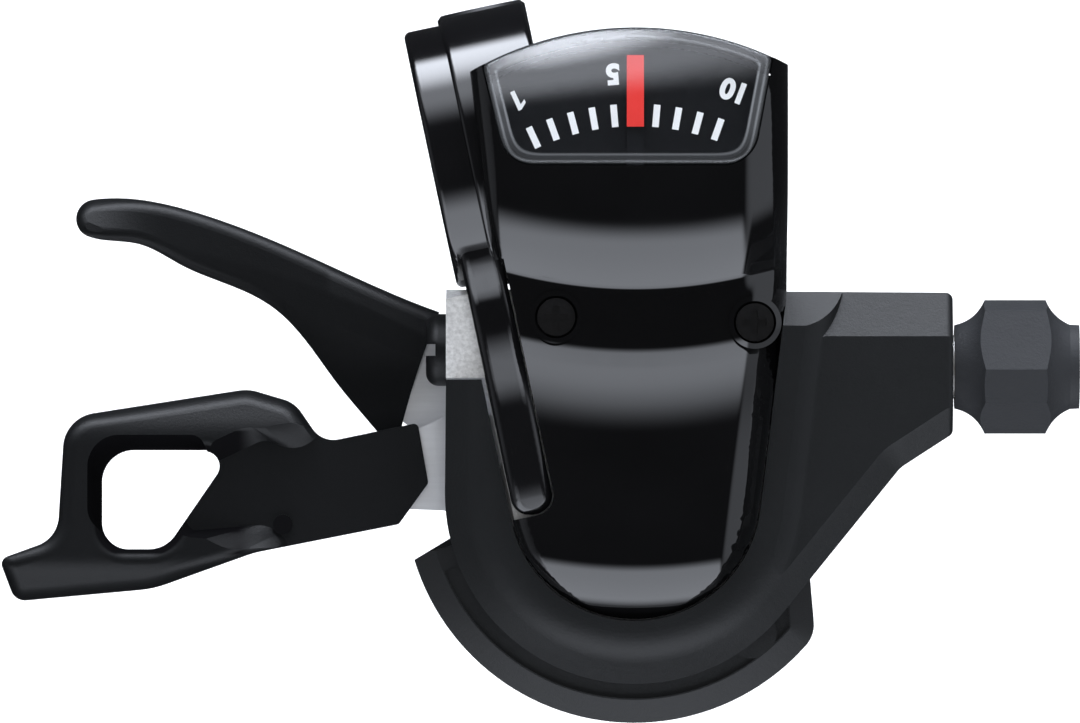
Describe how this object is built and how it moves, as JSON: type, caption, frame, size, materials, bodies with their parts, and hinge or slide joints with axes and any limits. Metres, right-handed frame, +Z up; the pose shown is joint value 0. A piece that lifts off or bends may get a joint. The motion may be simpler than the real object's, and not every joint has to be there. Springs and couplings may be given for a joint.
{
  "type": "trigger gear shifter",
  "caption": "Right-hand trigger gear shifter for a bicycle handlebar: clamp band, needle dial under a clear lens, looped release lever, thumb lever and barrel adjuster.",
  "frame": {"origin": "centre of the handlebar clamp's bore, half way along the band", "axes": "+X along the cable line towards its outlet, +Y towards the rider, +Z up out of the dial; the bar leans 12 degrees from X in the XY plane"},
  "size_m": [0.1019, 0.0687, 0.0458],
  "materials": {
    "gloss_black": "moulded plastic with a high gloss",
    "clamp_black": "gloss black enamel on aluminium",
    "body_black": "fine matte moulded texture",
    "base_black": "fine matte moulded texture",
    "lever_black": "fine satin moulded texture",
    "knob_black": "rubbery matte texture",
    "plate_steel": "stamped and tumbled",
    "screw_steel": "black oxide",
    "spring_steel": "plain wire",
    "cast_grey": "die cast, satin",
    "insert_brass": "turned",
    "lens_clear": "clear polished plastic",
    "dial_black": "smooth black print",
    "pointer_red": "smooth bright red",
    "drum_grey": "moulded acetal"
  },
  "bodies": {
    "housing": {"clamp_band": "clamp_black", "clamp_bolt": "screw_steel", "bracket": "cast_grey", "tail_screw": "screw_steel", "cable_plug": "lever_black", "top_cover": "gloss_black", "cover_screw_1": "screw_steel", "cover_screw_2": "screw_steel", "dial_tray": "body_black", "dial_plate": "dial_black", "lens": "lens_clear", "needle_pin": "plate_steel", "upper_body": "body_black", "arm_insert": "insert_brass", "base_cover": "base_black", "base_screw_1": "screw_steel", "base_screw_2": "screw_steel", "axle": "plate_steel", "axle_nut": "plate_steel", "foot_plate": "plate_steel", "foot_sleeve": "plate_steel", "drum_spacer": "plate_steel", "holding_pin": "plate_steel", "main_spring": "spring_steel", "release_spring": "spring_steel"},
    "needle": {"needle_arm": "dial_black", "needle_pointer": "pointer_red"},
    "drum": {"cable_drum": "drum_grey", "holding_ratchet": "plate_steel", "feed_ratchet": "plate_steel"},
    "holding_pawl": {"holding_pawl": "plate_steel"},
    "main_lever": {"main_plate": "plate_steel", "main_cap": "lever_black", "feed_pin": "plate_steel"},
    "feed_pawl": {"feed_pawl": "plate_steel"},
    "release_lever": {"release_plate": "plate_steel", "release_cap": "lever_black", "release_rivet": "lever_black"},
    "adjuster": {"adjuster_knob": "knob_black", "adjuster_stem": "plate_steel"}
  },
  "joints": [
    {"name": "main_lever_swing", "type": "hinge", "parent": "housing", "child": "main_lever", "pos_m": [0.0136, -0.03265, -0.0154], "axis": [0, 0, 1], "range_deg": [0, 48], "stiffness_Nm_per_rad": 0.15, "springref_deg": -20.05, "deforming": ["main_spring"]},
    {"name": "release_lever_swing", "type": "hinge", "parent": "housing", "child": "release_lever", "pos_m": [0.0136, -0.03265, -0.00765], "axis": [0, 0, 1], "range_deg": [-10, 10], "stiffness_Nm_per_rad": 0.4, "deforming": ["release_spring"]},
    {"name": "drum_turn", "type": "hinge", "parent": "housing", "child": "drum", "pos_m": [0.0136, -0.03265, -0.0028], "axis": [0, 0, 1], "range_deg": [-64, 80]},
    {"name": "needle_swing", "type": "hinge", "parent": "housing", "child": "needle", "pos_m": [0.0136, -0.01975, 0.0034], "axis": [0, 0, 1], "range_deg": [-20, 25]},
    {"name": "holding_pawl_swing", "type": "hinge", "parent": "housing", "child": "holding_pawl", "pos_m": [0.01162, -0.04671, -0.0058], "axis": [0, 0, 1], "range_deg": [0, 14], "stiffness_Nm_per_rad": 0.002},
    {"name": "feed_pawl_swing", "type": "hinge", "parent": "main_lever", "child": "feed_pawl", "pos_m": [-0.00046, -0.03067, -0.0116], "axis": [0, 0, 1], "range_deg": [0, 14], "stiffness_Nm_per_rad": 0.002},
    {"name": "adjuster_turn", "type": "hinge", "parent": "housing", "child": "adjuster", "pos_m": [0.0496, -0.02065, -0.00256], "axis": [1, 0, 0], "continuous": true}
  ],
  "couplings": [
    {"joint": "needle_swing", "follows": "drum_turn", "ratio": 0.3106}
  ]
}
